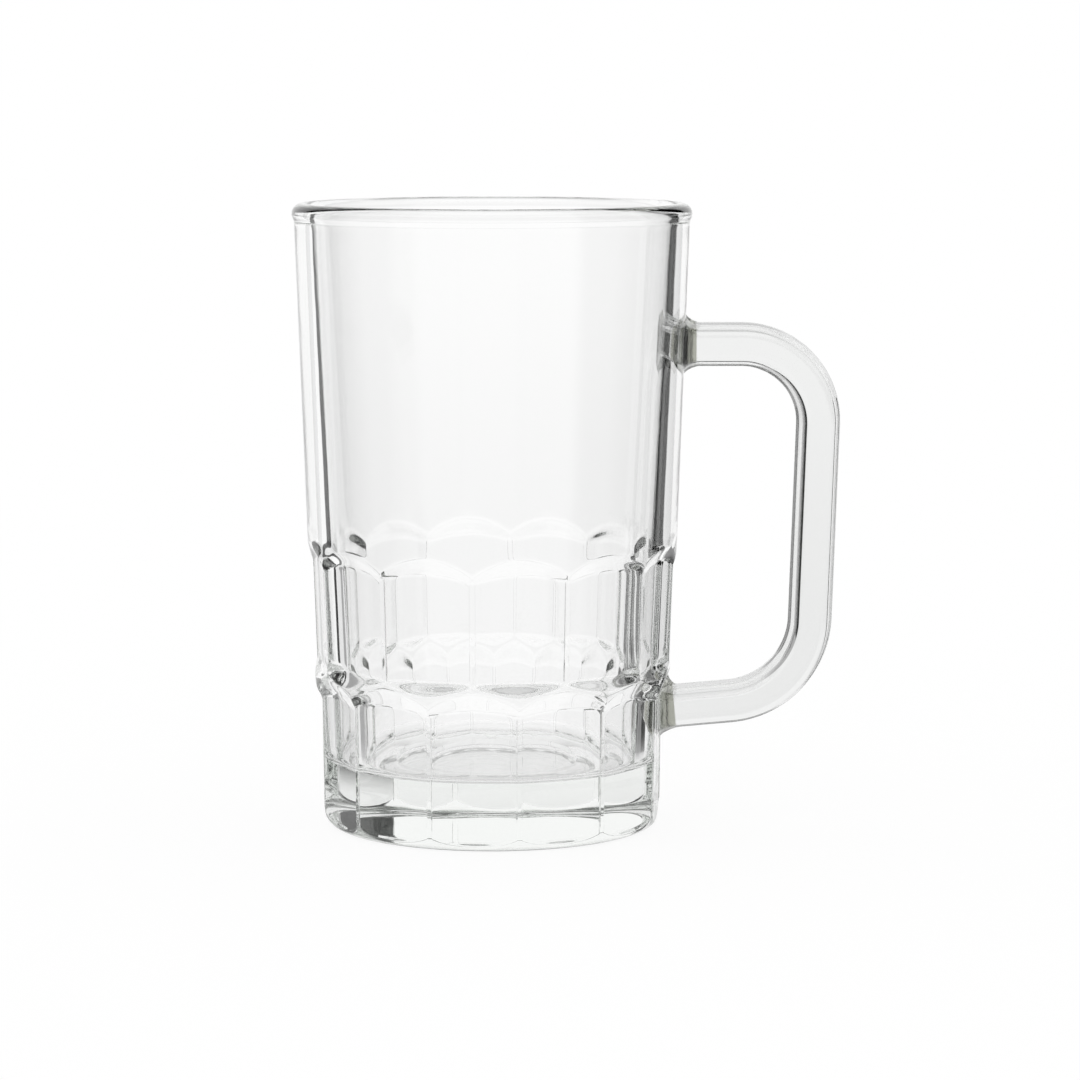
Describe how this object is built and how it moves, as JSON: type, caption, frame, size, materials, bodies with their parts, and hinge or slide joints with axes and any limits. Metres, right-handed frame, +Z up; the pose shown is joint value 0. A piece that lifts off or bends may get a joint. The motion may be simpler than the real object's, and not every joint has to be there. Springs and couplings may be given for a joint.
{
  "type": "dimpled glass beer mug",
  "caption": "Heavy clear glass beer mug: tapered bowl with a round rim, two staggered rows of arched panels round its lower half, a thick base and a stuck-on square bar handle.",
  "frame": {"origin": "on the table under the bowl's axis, in the plane of the ring that the mug stands on", "axes": "+Z up along the bowl's axis; +X from the axis towards the handle; +Y across the handle, so that the picture looks along +Y"},
  "size_m": [0.121, 0.088, 0.138],
  "materials": {
    "bowl_glass": "pressed and fire-polished",
    "handle_glass": "pressed and fire-polished",
    "joint_glass": "hot-fused, slightly stressed"
  },
  "bodies": {
    "root": {"bowl": "bowl_glass", "handle": "handle_glass", "upper_collar": "joint_glass", "lower_collar": "joint_glass"}
  },
  "joints": []
}
